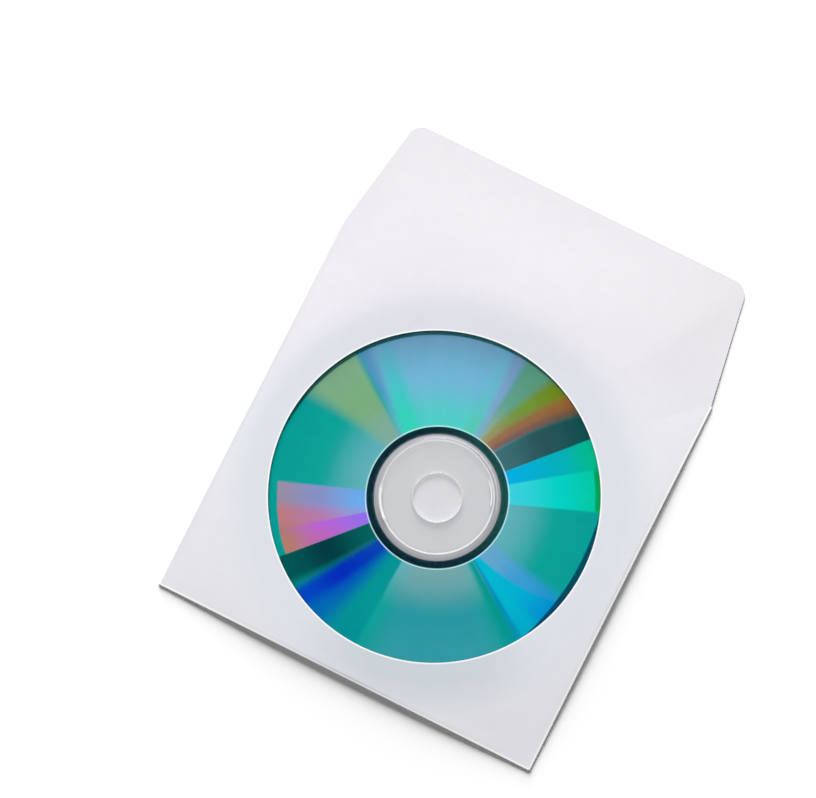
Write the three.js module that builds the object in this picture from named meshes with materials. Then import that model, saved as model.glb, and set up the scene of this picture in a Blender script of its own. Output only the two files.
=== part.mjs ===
// A paper disc sleeve with a round film window, lying face up with its top flap open and a disc inside.
// The envelope is one folded sheet: face, back panel, two seam flaps and the top flap.
// Millimetres. X runs across the sleeve, Y from the bottom fold to the top flap, Z up from the table.

import * as THREE from "three";

// Disc
const DISC_DIAMETER = 120;
const DISC_THICKNESS = 1.2;
const DISC_HOLE_DIAMETER = 15;
const DISC_EDGE_CHAMFER = 0.12;
const DISC_SHIFT = new THREE.Vector2(0.9, 0.17);
const STACKING_RING_RADIUS = 17.6;
const STACKING_RING_WIDTH = 1.1;
const STACKING_RING_HEIGHT = 0.15;
const LAYER_THICKNESS = 0.04;
const LAYER_INNER_RADIUS = 19.4;
const LAYER_EDGE_MARGIN = 1.1;

// Pocket and face
const PAPER = 0.13;
const SIDE_PLAY = 3.5;
const END_PLAY = 1.9;
const WINDOW_RIM = 9.2;
const WINDOW_LIFT = -0.3;
const FOLD_CLEARANCE = 0.3;
const FOLD_RIM_RISE = 1;

// Top flap
const FLAP_LENGTH = 38;
const FLAP_TAPER = 6.8;
const FLAP_CORNER_RADIUS = 5;

// Seam flaps
const SEAM_WIDTH = 17;
const SEAM_TOP_SLOPE = 0.14;
const SEAM_TOP_RADIUS = 4;
const SEAM_MITRE_START = 8;
const SEAM_MITRE_SLOPE = 1.16;
const SEAM_LOWER_RADIUS = 5;

// Back panel
const BACK_SIDE_CLEARANCE = 0.6;
const BACK_TAPER_LENGTH = 3;
const THROAT_DROP = 1.8;
const THROAT_CROWN = 5.9;

// Glue, film and release liner
const GLUE = 0.05;
const GLUE_MARGIN = 1;
const WINDOW_GLUE_WIDTH = 4;
const SEAM_GLUE_MARGIN = 3;
const SEAM_GLUE_WIDTH = 10;
const SEAM_GLUE_END_MARGIN = 9;
const FILM = 0.05;
const FILM_LAP = 6.2;
const FILM_CLEARANCE = 0.05;
const ADHESIVE = 0.04;
const ADHESIVE_MARGIN = 3;
const LINER = 0.08;
const LINER_WIDTH = 24.4;
const LINER_END_INSET = 3.4;
const LINER_TIP_MARGIN = 0.3;
const STRIP_CLEARANCE = 0.04;

// Mesh steps
const FOLD_STEPS = 4;
const CORNER_STEPS = 4;
const SIDE_STEPS = 16;
const END_STEPS = 16;
const FLAP_SIDE_STEPS = 5;
const DRAPE_STEPS = 7;
const DISC_STEPS = 80;

// Sizes worked out from those above

// Layers, from the table up: seam flap, glue, back panel, recording layer, disc, film, glue and face.
const backBase = PAPER + GLUE;
const layerBase = backBase + PAPER;
const discBase = layerBase + LAYER_THICKNESS;
const discTop = discBase + DISC_THICKNESS;
const filmBase = discTop + STACKING_RING_HEIGHT + FILM_CLEARANCE;
const windowGlueBase = filmBase + FILM;
const faceTop = windowGlueBase + GLUE + PAPER;

// The face's top where it meets the folds at the corners of the pocket, away from the disc.
const faceEdge = layerBase + FOLD_CLEARANCE + PAPER;

const bodyHalfWidth = DISC_DIAMETER / 2 + SIDE_PLAY;
const bodyHeight = DISC_DIAMETER + 2 * END_PLAY;
const sleeveLength = bodyHeight + FLAP_LENGTH;
const sideLine = bodyHalfWidth - faceEdge / 2;
const bottomLine = (faceEdge - backBase) / 2;
const tipHalfWidth = bodyHalfWidth - FLAP_TAPER;
const tipTop = PAPER + ADHESIVE + LINER + 2 * STRIP_CLEARANCE;
const windowRadius = DISC_DIAMETER / 2 - WINDOW_RIM;
const windowCentre = new THREE.Vector2(0, bodyHeight / 2 + WINDOW_LIFT);
const discCentre = windowCentre.clone().add(DISC_SHIFT);
const drapeRadius = DISC_DIAMETER / 2;

/**
 * Height of the face's top at a fold, at a distance along the fold from the disc's centre. The disc's rim
 * holds the middle of the fold up.
 */
function foldHeight(along) {
  const away = THREE.MathUtils.smoothstep(Math.abs(along), 0, drapeRadius);
  return THREE.MathUtils.lerp(faceEdge + FOLD_RIM_RISE, faceEdge, away);
}

/** Outer radius of a side fold's turn, from the face down to the seam flap on the table. */
function sideFoldRadius(y) {
  return foldHeight(y - discCentre.y) / 2;
}

/** Outer radius of the bottom fold's turn, from the face down to the back panel. */
function bottomFoldRadius(x) {
  return (foldHeight(x - discCentre.x) - backBase) / 2;
}

/** Points from a to b in equal steps, without b itself. */
function stretch(a, b, steps) {
  return Array.from({ length: steps }, (_, i) => a.clone().lerp(b, i / steps));
}

/** Points of the round corner that a radius makes at `corner`, on the way from `before` to `after`. */
function roundCorner(before, corner, after, radius, steps) {
  const inward = before.clone().sub(corner).normalize();
  const outward = after.clone().sub(corner).normalize();
  const halfAngle = Math.acos(inward.dot(outward)) / 2;
  const bisector = inward.clone().add(outward).normalize();
  const centre = bisector.multiplyScalar(radius / Math.sin(halfAngle)).add(corner);
  const start = inward.clone().multiplyScalar(radius / Math.tan(halfAngle)).add(corner);
  const end = outward.clone().multiplyScalar(radius / Math.tan(halfAngle)).add(corner);
  const first = start.clone().sub(centre).angle();
  const turn = Math.PI - 2 * halfAngle;
  return Array.from({ length: steps + 1 }, (_, i) => {
    const angle = first + (turn * i) / steps;
    return new THREE.Vector2(Math.cos(angle), Math.sin(angle)).multiplyScalar(radius).add(centre);
  });
}

/**
 * The face's outline with its top flap, anticlockwise from the bottom right corner. Each stretch that a fold
 * hangs on keeps its own list of places in the outline.
 */
function traceFace() {
  const bottomRight = new THREE.Vector2(sideLine, bottomLine);
  const bottomLeft = new THREE.Vector2(-sideLine, bottomLine);
  const flapRight = new THREE.Vector2(sideLine, bodyHeight);
  const flapLeft = new THREE.Vector2(-sideLine, bodyHeight);
  const tipRight = new THREE.Vector2(tipHalfWidth, sleeveLength);
  const tipLeft = new THREE.Vector2(-tipHalfWidth, sleeveLength);
  const rightCorner = roundCorner(flapRight, tipRight, tipLeft, FLAP_CORNER_RADIUS, CORNER_STEPS);
  const leftCorner = roundCorner(tipRight, tipLeft, flapLeft, FLAP_CORNER_RADIUS, CORNER_STEPS);
  const flapHeight = (y) => THREE.MathUtils.mapLinear(y, bodyHeight, sleeveLength, faceEdge, tipTop);
  const onSide = (p, side) => p.setX(side * (bodyHalfWidth - sideFoldRadius(p.y)));
  const onBottom = (p) => p.setY(bottomFoldRadius(p.x));
  const points = [
    ...stretch(bottomRight, flapRight, SIDE_STEPS).map((p) => onSide(p, 1)),
    ...stretch(flapRight, rightCorner[0], FLAP_SIDE_STEPS),
    ...rightCorner.slice(0, -1),
    ...stretch(rightCorner.at(-1), leftCorner[0], END_STEPS),
    ...leftCorner.slice(0, -1),
    ...stretch(leftCorner.at(-1), flapLeft, FLAP_SIDE_STEPS),
    ...stretch(flapLeft, bottomLeft, SIDE_STEPS).map((p) => onSide(p, -1)),
    ...stretch(bottomLeft, bottomRight, END_STEPS).map(onBottom),
  ];
  const count = points.length;
  const run = (first, steps) => Array.from({ length: steps + 1 }, (_, i) => (first + i) % count);
  const leftStart = count - END_STEPS - SIDE_STEPS;
  const heights = points.map(({ x, y }, i) => {
    if (y > bodyHeight) {
      return flapHeight(y);
    }
    return foldHeight(i < count - END_STEPS ? y - discCentre.y : x - discCentre.x);
  });
  return {
    points,
    heights,
    right: run(0, SIDE_STEPS),
    left: run(leftStart, SIDE_STEPS).reverse(),
    bottom: run(count - END_STEPS, END_STEPS),
  };
}

const faceOutline = traceFace();

/** Where the ray from the disc's centre at `angle` leaves the face: its distance and the height there. */
function faceLimit(angle) {
  const ray = new THREE.Vector2(Math.cos(angle), Math.sin(angle));
  const { points, heights } = faceOutline;
  for (let i = 0; i < points.length; i += 1) {
    const next = (i + 1) % points.length;
    const a = points[i].clone().sub(discCentre);
    const side = points[next].clone().sub(points[i]);
    const across = ray.cross(side);
    const distance = a.cross(side) / across;
    const along = a.cross(ray) / across;
    if (distance > 0 && along >= -1e-9 && along <= 1 + 1e-9) {
      return { distance, height: THREE.MathUtils.lerp(heights[i], heights[next], along) };
    }
  }
  throw new Error("the face's outline has a gap");
}

/** Height of the face's top: level over the disc, then draped from the disc's rim to the outline. */
function faceHeight(point) {
  const offset = point.clone().sub(discCentre);
  const reach = offset.length();
  if (reach <= drapeRadius) {
    return faceTop;
  }
  const { distance, height } = faceLimit(offset.angle());
  const down = THREE.MathUtils.smoothstep(reach, drapeRadius, distance);
  return THREE.MathUtils.lerp(faceTop, height, down);
}

/**
 * A sheet as a solid. Each corner has a point on the sheet's outer side and one on its inner side, and each
 * cell is a list of corners, anticlockwise from outside. An edge that only one cell has gets a cut face.
 */
class Sheet {
  constructor() {
    this.outer = [];
    this.inner = [];
    this.cells = [];
  }

  corner(outer, inner) {
    this.outer.push(outer);
    this.inner.push(inner);
    return this.outer.length - 1;
  }

  /** Joins two rows of corners with cells. A closed pair of rows meets its own start. */
  band(lower, upper, closed = false) {
    const steps = closed ? lower.length : lower.length - 1;
    for (let i = 0; i < steps; i += 1) {
      const j = (i + 1) % lower.length;
      this.cells.push([lower[i], lower[j], upper[j], upper[i]]);
    }
  }

  /** Joins rows of corners in order, each to the next. */
  grid(rows, closed = false) {
    for (let i = 1; i < rows.length; i += 1) {
      this.band(rows[i - 1], rows[i], closed);
    }
  }

  geometry() {
    const count = this.outer.length;
    const triangles = [];
    const open = new Map();
    for (const cell of this.cells) {
      for (let i = 0; i < cell.length; i += 1) {
        const a = cell[i];
        const b = cell[(i + 1) % cell.length];
        if (!open.delete(`${b} ${a}`)) {
          open.set(`${a} ${b}`, [a, b]);
        }
      }
      for (let i = 2; i < cell.length; i += 1) {
        triangles.push(cell[0], cell[i - 1], cell[i]);
        triangles.push(cell[0] + count, cell[i] + count, cell[i - 1] + count);
      }
    }
    for (const [a, b] of open.values()) {
      triangles.push(a, a + count, b + count);
      triangles.push(a, b + count, b);
    }
    const geometry = new THREE.BufferGeometry();
    geometry.setFromPoints([...this.outer, ...this.inner]);
    geometry.setIndex(triangles);
    return geometry;
  }
}

/** Adds the corner of a draped sheet at `point`, `below` under the face's top and `thickness` thick. */
function drapedCorner(sheet, point, below, thickness) {
  const top = faceHeight(point) - below;
  return sheet.corner(
    new THREE.Vector3(point.x, point.y, top),
    new THREE.Vector3(point.x, point.y, top - thickness),
  );
}

/** Adds the face and the top flap: rings from the window's edge over the disc's rim to the outline. */
function addFace(sheet) {
  const rings = Array.from({ length: DRAPE_STEPS + 2 }, () => []);
  for (const point of faceOutline.points) {
    const ray = point.clone().sub(discCentre).normalize();
    const windowEdge = ray.clone().multiplyScalar(windowRadius).add(windowCentre);
    const rim = ray.clone().multiplyScalar(drapeRadius).add(discCentre);
    rings[0].push(drapedCorner(sheet, windowEdge, 0, PAPER));
    for (let i = 0; i <= DRAPE_STEPS; i += 1) {
      const place = rim.clone().lerp(point, i / DRAPE_STEPS);
      rings[i + 1].push(drapedCorner(sheet, place, 0, PAPER));
    }
  }
  sheet.grid(rings.toReversed(), true);
  return rings.at(-1);
}

/**
 * Adds a fold's turn from the face's edge. Each turn has an outer radius, its lowest height and a function
 * that puts an outward and an upward offset in space.
 */
function addTurn(sheet, edgeRow, turns) {
  const rows = [edgeRow];
  for (let step = 1; step <= FOLD_STEPS; step += 1) {
    const angle = (Math.PI * step) / FOLD_STEPS;
    rows.push(
      turns.map(({ radius, base, place }) => {
        const at = (r) => place(r * Math.sin(angle), base + radius + r * Math.cos(angle));
        return sheet.corner(at(radius), at(radius - PAPER));
      }),
    );
  }
  return rows;
}

/** Height of a rounded corner of `radius` above its flat line, `past` beyond where the round starts. */
function roundRise(past, radius) {
  const x = THREE.MathUtils.clamp(past, 0, radius);
  return radius - Math.sqrt(radius * radius - x * x);
}

/** The seam flap's lowest and highest Y at a distance from the sleeve's side. */
function seamSpan(from) {
  const mitre = Math.max(0, (from - SEAM_MITRE_START) * SEAM_MITRE_SLOPE);
  const lowerRound = roundRise(from - (SEAM_WIDTH - SEAM_LOWER_RADIUS), SEAM_LOWER_RADIUS);
  const upperRound = roundRise(from - (SEAM_WIDTH - SEAM_TOP_RADIUS), SEAM_TOP_RADIUS);
  return {
    low: bottomLine + mitre + lowerRound,
    high: bodyHeight - from * SEAM_TOP_SLOPE - upperRound,
  };
}

/** Adds the fold on one side and the seam flap that it carries. */
function addSeamFlap(sheet, faceRing, stretchOfOutline, side) {
  const edgeRow = stretchOfOutline.map((i) => faceRing[i]);
  const heights = stretchOfOutline.map((i) => faceOutline.points[i].y);
  const turns = heights.map((y) => {
    const radius = sideFoldRadius(y);
    const place = (out, up) => new THREE.Vector3(side * (bodyHalfWidth - radius + out), y, up);
    return { radius, base: 0, place };
  });
  const rows = addTurn(sheet, edgeRow, turns);
  const round = Math.max(SEAM_LOWER_RADIUS, SEAM_TOP_RADIUS);
  const roundSteps = Array.from({ length: CORNER_STEPS + 1 }, (_, i) => {
    return SEAM_WIDTH - round + round * Math.sin((Math.PI / 2) * (i / CORNER_STEPS));
  });
  for (const from of [SEAM_MITRE_START, ...roundSteps].sort((a, b) => a - b)) {
    const { low, high } = seamSpan(from);
    rows.push(
      heights.map((y) => {
        const at = THREE.MathUtils.mapLinear(y, bottomLine, bodyHeight, low, high);
        const x = side * (bodyHalfWidth - from);
        return sheet.corner(new THREE.Vector3(x, at, 0), new THREE.Vector3(x, at, PAPER));
      }),
    );
  }
  sheet.grid(side > 0 ? rows.toReversed() : rows);
}

/** Y of the back panel's throat edge, which is highest in the middle. */
function throatHeight(x) {
  const halfWidth = sideLine - BACK_SIDE_CLEARANCE;
  return bodyHeight - THROAT_DROP - THROAT_CROWN * (x / halfWidth) ** 2;
}

/** Adds the bottom fold and the back panel, which narrows above the fold to pass inside the side folds. */
function addBackPanel(sheet, faceRing) {
  const edgeRow = faceOutline.bottom.map((i) => faceRing[i]);
  const spread = faceOutline.bottom.map((i) => faceOutline.points[i].x);
  const turns = spread.map((x) => {
    const radius = bottomFoldRadius(x);
    return { radius, base: backBase, place: (out, up) => new THREE.Vector3(x, radius - out, up) };
  });
  const rows = addTurn(sheet, edgeRow, turns);
  const narrow = 1 - BACK_SIDE_CLEARANCE / sideLine;
  const taperEnd = BACK_TAPER_LENGTH / bodyHeight;
  for (const up of [taperEnd, 0.5, 1]) {
    rows.push(
      spread.map((wide) => {
        const x = wide * narrow;
        const y = THREE.MathUtils.lerp(bottomLine, throatHeight(x), up);
        return sheet.corner(new THREE.Vector3(x, y, backBase), new THREE.Vector3(x, y, backBase + PAPER));
      }),
    );
  }
  sheet.grid(rows.toReversed());
}

/** The envelope: one blank, cut and folded. */
function makeEnvelope() {
  const sheet = new Sheet();
  const faceRing = addFace(sheet);
  addSeamFlap(sheet, faceRing, faceOutline.right, 1);
  addSeamFlap(sheet, faceRing, faceOutline.left, -1);
  addBackPanel(sheet, faceRing);
  return sheet.geometry();
}

/** The clear film: a square patch behind the window that follows the face's inner side. */
function makeWindowFilm() {
  const sheet = new Sheet();
  const half = windowRadius + FILM_LAP;
  const below = faceTop - windowGlueBase;
  const rings = Array.from({ length: DRAPE_STEPS }, () => []);
  for (const point of faceOutline.points) {
    const ray = point.clone().sub(discCentre).normalize();
    const reach = half / Math.max(Math.abs(ray.x), Math.abs(ray.y));
    const edge = ray.clone().multiplyScalar(reach).add(windowCentre);
    const flat = ray.clone().multiplyScalar(windowRadius).add(windowCentre);
    for (let i = 0; i < DRAPE_STEPS; i += 1) {
      const place = flat.clone().lerp(edge, i / (DRAPE_STEPS - 1));
      rings[i].push(drapedCorner(sheet, place, below, FILM));
    }
  }
  const hub = drapedCorner(sheet, windowCentre, below, FILM);
  sheet.grid(rings.toReversed(), true);
  rings[0].forEach((corner, i) => sheet.cells.push([corner, rings[0][(i + 1) % rings[0].length], hub]));
  return sheet.geometry();
}

/** A flat ring between two radii, standing on z = 0. */
function flatRing(innerRadius, outerRadius, thickness) {
  const shape = new THREE.Shape().absarc(0, 0, outerRadius, 0, 2 * Math.PI, false);
  shape.holes.push(new THREE.Path().absarc(0, 0, innerRadius, 0, 2 * Math.PI, true));
  return new THREE.ExtrudeGeometry(shape, {
    depth: thickness,
    bevelEnabled: false,
    curveSegments: DISC_STEPS / 2,
  });
}

/** A flat strip with round ends along Y, centred on the origin and standing on z = 0. */
function roundStrip(width, length, thickness) {
  const radius = width / 2;
  const straight = length / 2 - radius;
  const shape = new THREE.Shape()
    .absarc(0, straight, radius, 0, Math.PI, false)
    .absarc(0, -straight, radius, Math.PI, 2 * Math.PI, false);
  return new THREE.ExtrudeGeometry(shape, {
    depth: thickness,
    bevelEnabled: false,
    curveSegments: CORNER_STEPS,
  });
}

/** A strip across the inside of the top flap, which follows the flap's slope. */
function flapStrip(halfLength, low, high, below, thickness) {
  const sheet = new Sheet();
  const rows = [];
  for (let i = 0; i <= CORNER_STEPS; i += 1) {
    const y = THREE.MathUtils.lerp(low, high, i / CORNER_STEPS);
    const row = [];
    for (let j = 0; j <= END_STEPS; j += 1) {
      const x = THREE.MathUtils.lerp(-halfLength, halfLength, j / END_STEPS);
      row.push(drapedCorner(sheet, new THREE.Vector2(x, y), below, thickness));
    }
    rows.push(row);
  }
  sheet.grid(rows);
  return sheet.geometry();
}

/** The disc: its section turned about its axis, with the stacking ring on the side that faces the window. */
function makeDisc() {
  const inner = DISC_HOLE_DIAMETER / 2;
  const outer = DISC_DIAMETER / 2;
  const ringInner = STACKING_RING_RADIUS - STACKING_RING_WIDTH / 2;
  const ringOuter = STACKING_RING_RADIUS + STACKING_RING_WIDTH / 2;
  const crown = DISC_THICKNESS + STACKING_RING_HEIGHT;
  const section = [
    [inner + DISC_EDGE_CHAMFER, 0],
    [outer - DISC_EDGE_CHAMFER, 0],
    [outer, DISC_EDGE_CHAMFER],
    [outer, DISC_THICKNESS - DISC_EDGE_CHAMFER],
    [outer - DISC_EDGE_CHAMFER, DISC_THICKNESS],
    [ringOuter, DISC_THICKNESS],
    [ringOuter - STACKING_RING_HEIGHT, crown],
    [ringInner + STACKING_RING_HEIGHT, crown],
    [ringInner, DISC_THICKNESS],
    [inner + DISC_EDGE_CHAMFER, DISC_THICKNESS],
    [inner, DISC_THICKNESS - DISC_EDGE_CHAMFER],
    [inner, DISC_EDGE_CHAMFER],
    [inner + DISC_EDGE_CHAMFER, 0],
  ].map(([radius, height]) => new THREE.Vector2(radius, height));
  return new THREE.LatheGeometry(section, DISC_STEPS).rotateX(Math.PI / 2);
}

const paper = new THREE.MeshStandardMaterial({ color: 0xf0edf2, roughness: 0.85, metalness: 0 });
const linerPaper = new THREE.MeshStandardMaterial({ color: 0xeeeade, roughness: 0.6, metalness: 0 });
const film = new THREE.MeshStandardMaterial({
  color: 0xf4f7f8,
  roughness: 0.06,
  transparent: true,
  opacity: 0.15,
});
const glue = new THREE.MeshStandardMaterial({
  color: 0xe6e4dc,
  roughness: 0.4,
  transparent: true,
  opacity: 0.6,
});
const polycarbonate = new THREE.MeshStandardMaterial({
  color: 0xdfe2e8,
  roughness: 0.05,
  transparent: true,
  opacity: 0.4,
});
const recording = new THREE.MeshStandardMaterial({ color: 0x2a9aa0, roughness: 0.15, metalness: 0.9 });

const sleeve = new THREE.Group();
sleeve.position.y = -sleeveLength / 2;

/** Puts a named piece into the sleeve. */
function addPiece(name, geometry, material, x = 0, y = 0, z = 0) {
  const mesh = new THREE.Mesh(geometry, material);
  mesh.name = name;
  mesh.position.set(x, y, z);
  sleeve.add(mesh);
}

addPiece("envelope", makeEnvelope(), paper);
addPiece("window_film", makeWindowFilm(), film);

const glueInner = windowRadius + GLUE_MARGIN;
const windowGlue = flatRing(glueInner, glueInner + WINDOW_GLUE_WIDTH, GLUE);
addPiece("window_glue", windowGlue, glue, windowCentre.x, windowCentre.y, windowGlueBase);

const seamGlueX = bodyHalfWidth - SEAM_WIDTH + SEAM_GLUE_MARGIN + SEAM_GLUE_WIDTH / 2;
const seamGlueLow = seamSpan(SEAM_WIDTH - SEAM_GLUE_MARGIN).low + GLUE_MARGIN;
const seamGlueHigh = throatHeight(sideLine) - SEAM_GLUE_END_MARGIN;
for (const [name, side] of [["seam_glue_left", -1], ["seam_glue_right", 1]]) {
  const strip = roundStrip(SEAM_GLUE_WIDTH, seamGlueHigh - seamGlueLow, GLUE);
  addPiece(name, strip, glue, side * seamGlueX, (seamGlueLow + seamGlueHigh) / 2, PAPER);
}

const linerHalf = tipHalfWidth - LINER_END_INSET;
const linerHigh = sleeveLength - LINER_TIP_MARGIN;
const linerLow = linerHigh - LINER_WIDTH;
const adhesiveBelow = PAPER + STRIP_CLEARANCE;
const linerBelow = adhesiveBelow + ADHESIVE + STRIP_CLEARANCE;
const adhesiveStrip = flapStrip(
  linerHalf - ADHESIVE_MARGIN,
  linerLow + ADHESIVE_MARGIN,
  linerHigh - ADHESIVE_MARGIN,
  adhesiveBelow,
  ADHESIVE,
);
addPiece("flap_adhesive", adhesiveStrip, glue);
addPiece("release_liner", flapStrip(linerHalf, linerLow, linerHigh, linerBelow, LINER), linerPaper);

addPiece("disc", makeDisc(), polycarbonate, discCentre.x, discCentre.y, discBase);
const layer = flatRing(LAYER_INNER_RADIUS, DISC_DIAMETER / 2 - LAYER_EDGE_MARGIN, LAYER_THICKNESS);
addPiece("recording_layer", layer, recording, discCentre.x, discCentre.y, layerBase);

export default sleeve;
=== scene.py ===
"""A paper disc sleeve with a film window, face up with its top flap open and a disc in its pocket.

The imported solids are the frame. Metres: X runs across the sleeve, Y from the bottom fold to the top flap,
and Z up from the table.
"""

import logging
import math
from collections.abc import Callable, Mapping, Sequence
from dataclasses import dataclass, field
from enum import Enum

import bpy
from mathutils import Matrix, Vector, noise


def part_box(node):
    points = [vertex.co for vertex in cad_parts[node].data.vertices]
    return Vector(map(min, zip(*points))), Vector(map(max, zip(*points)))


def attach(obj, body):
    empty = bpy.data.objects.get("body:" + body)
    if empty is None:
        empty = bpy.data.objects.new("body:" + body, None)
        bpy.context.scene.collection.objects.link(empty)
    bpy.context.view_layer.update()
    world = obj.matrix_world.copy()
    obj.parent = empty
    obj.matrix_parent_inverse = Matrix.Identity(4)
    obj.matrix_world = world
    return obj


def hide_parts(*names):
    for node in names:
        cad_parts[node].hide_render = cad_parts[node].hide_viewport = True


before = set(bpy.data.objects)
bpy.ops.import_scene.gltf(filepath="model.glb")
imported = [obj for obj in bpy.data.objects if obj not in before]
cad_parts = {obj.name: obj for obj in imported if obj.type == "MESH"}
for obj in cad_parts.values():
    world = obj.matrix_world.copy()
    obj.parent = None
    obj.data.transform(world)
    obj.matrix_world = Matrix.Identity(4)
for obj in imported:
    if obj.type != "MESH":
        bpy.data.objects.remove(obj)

MM = 0.001
ROOT = "root"

Colour = tuple[float, float, float]
Place = tuple[float, float]
Span = tuple[float, float]
Triple = tuple[float, float, float]
Turn = tuple[float, float, Callable[[float, float], Vector]]
Tones = tuple[Triple, Triple, Triple]

# Angle of the zero bearing from +X, anticlockwise in degrees
ZERO_BEARING = 116.6
# Detail and roughness of a fine noise
FINE = (3.0, 0.6)

log = logging.getLogger("disc_sleeve")


def srgb(red: float, green: float, blue: float) -> Colour:
    """Linear colour of a display colour with channels from 0 to 255."""
    return tuple(
        c / 12.92 if c <= 0.04045 else ((c + 0.055) / 1.055) ** 2.4
        for c in (red / 255, green / 255, blue / 255)
    )


def lerp(a: float, b: float, t: float) -> float:
    """Value between a and b at t."""
    return a + (b - a) * t


def smoothstep(low: float, high: float, value: float) -> float:
    """Smooth rise from 0 at low to 1 at high."""
    t = min(max((value - low) / (high - low), 0.0), 1.0)
    return t * t * (3 - 2 * t)


class Slot(Enum):
    """Material slots of the record."""

    PAPER = "envelope_paper"
    LINER = "liner_paper"
    FILM = "clear_film"
    GLUE = "paper_glue"
    TACKY = "tacky_adhesive"
    DISC = "clear_polycarbonate"
    LAYER = "reflecting_layer"


class Socket:
    """An output socket of a node. Arithmetic on it adds Math nodes."""

    def __init__(self, nodes: "Nodes", socket: bpy.types.NodeSocket) -> None:
        """Wraps a socket of the given tree."""
        self.nodes = nodes
        self.socket = socket

    def __add__(self, other: "Socket | float") -> "Socket":
        """Sum."""
        return self.nodes.math("ADD", self, other)

    def __radd__(self, other: float) -> "Socket":
        """Sum with a number on the left."""
        return self.nodes.math("ADD", other, self)

    def __sub__(self, other: "Socket | float") -> "Socket":
        """Difference."""
        return self.nodes.math("SUBTRACT", self, other)

    def __rsub__(self, other: float) -> "Socket":
        """Difference from a number."""
        return self.nodes.math("SUBTRACT", other, self)

    def __mul__(self, other: "Socket | float") -> "Socket":
        """Product."""
        return self.nodes.math("MULTIPLY", self, other)

    def __rmul__(self, other: float) -> "Socket":
        """Product with a number on the left."""
        return self.nodes.math("MULTIPLY", other, self)

    def __truediv__(self, other: "Socket | float") -> "Socket":
        """Quotient."""
        return self.nodes.math("DIVIDE", self, other)

    def __rtruediv__(self, other: float) -> "Socket":
        """Quotient of a number."""
        return self.nodes.math("DIVIDE", other, self)

    def __pow__(self, other: "Socket | float") -> "Socket":
        """Power."""
        return self.nodes.math("POWER", self, other)

    def __rpow__(self, other: float) -> "Socket":
        """Power of a number."""
        return self.nodes.math("POWER", other, self)

    def __abs__(self) -> "Socket":
        """Size without its sign."""
        return self.nodes.math("ABSOLUTE", self)

    def rise(self, low: float, high: float) -> "Socket":
        """Smooth rise from 0 at low to 1 at high."""
        return self.nodes.node(
            "ShaderNodeMapRange",
            {"interpolation_type": "SMOOTHSTEP"},
            {"Value": self, "From Min": low, "From Max": high},
        )

    def band(self, low: float, high: float, soft: float) -> "Socket":
        """1 between low and high, with edges that are soft wide."""
        half = soft / 2
        return self.rise(low - half, low + half) * (1 - self.rise(high - half, high + half))

    def sibling(self, output: str) -> "Socket":
        """Another output of the same node."""
        return Socket(self.nodes, self.socket.node.outputs[output])


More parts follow.
